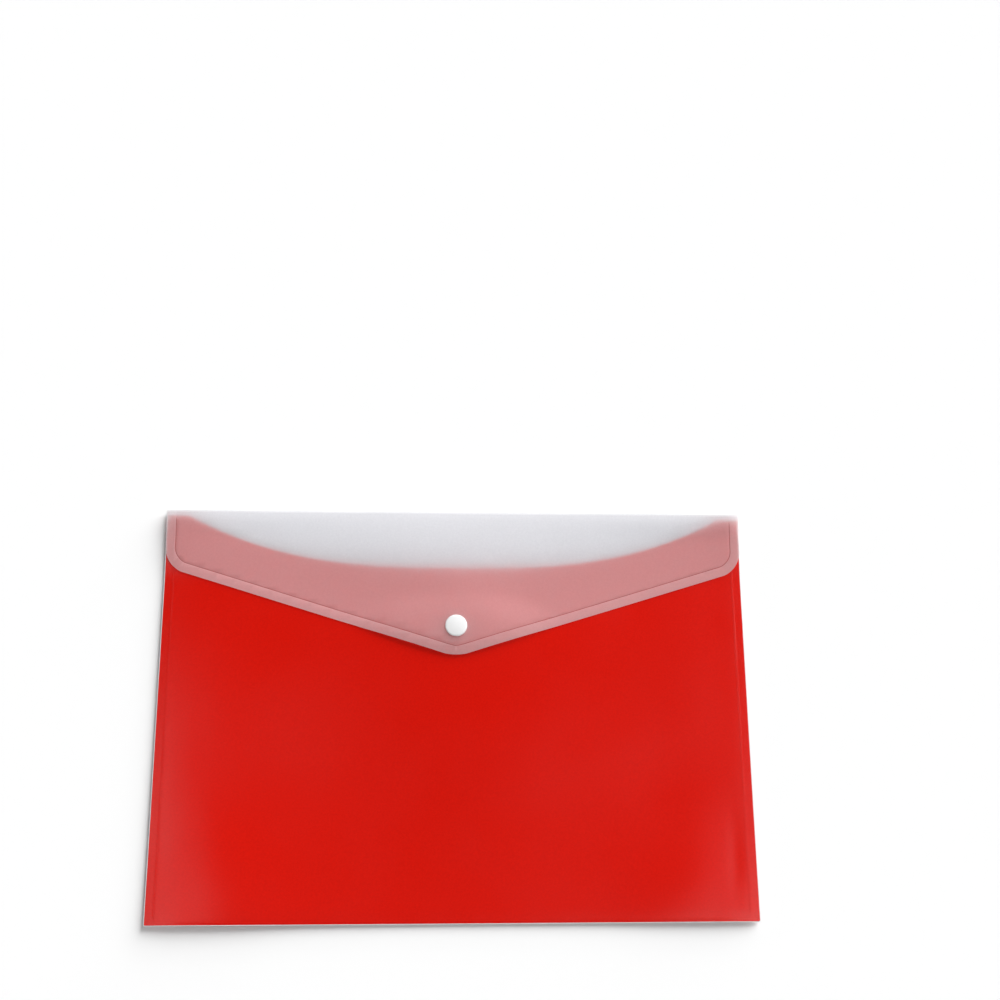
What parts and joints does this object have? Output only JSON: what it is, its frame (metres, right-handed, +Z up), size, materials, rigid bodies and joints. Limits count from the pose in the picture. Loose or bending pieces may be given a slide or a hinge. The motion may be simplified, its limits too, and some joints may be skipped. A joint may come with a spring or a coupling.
{
  "type": "document wallet",
  "caption": "Landscape A4 envelope wallet of plastic film with a frosted fold-over flap, an arched mouth, welded sides and a press-stud fastening.",
  "frame": {"origin": "on the table, under the middle of the closed wallet's bounding box", "axes": "+X along the wallet's width, +Y towards the fold at the top edge, +Z up out of the front panel"},
  "size_m": [0.33, 0.23, 0.0101],
  "materials": {
    "red_film": "satin, fine grain",
    "frosted_film": "frosted, see-through",
    "white_stud": "smooth"
  },
  "bodies": {
    "pocket": {"back_panel": "frosted_film", "front_panel": "red_film", "left_weld": "red_film", "right_weld": "red_film", "bottom_weld": "red_film", "snap_stud": "white_stud", "snap_back_cap": "white_stud"},
    "crease": {"crease_band": "frosted_film"},
    "flap": {"flap": "frosted_film", "snap_cap": "white_stud", "snap_socket": "white_stud"}
  },
  "joints": [
    {"name": "crease_fold", "type": "hinge", "parent": "pocket", "child": "crease", "pos_m": [0, 0.11485, 0.00015], "axis": [-1, 0, 0], "range_deg": [0, 179]},
    {"name": "flap_fold", "type": "hinge", "parent": "crease", "child": "flap", "pos_m": [0, 0.11485, 0.00535], "axis": [-1, 0, 0], "range_deg": [0, 179]}
  ]
}
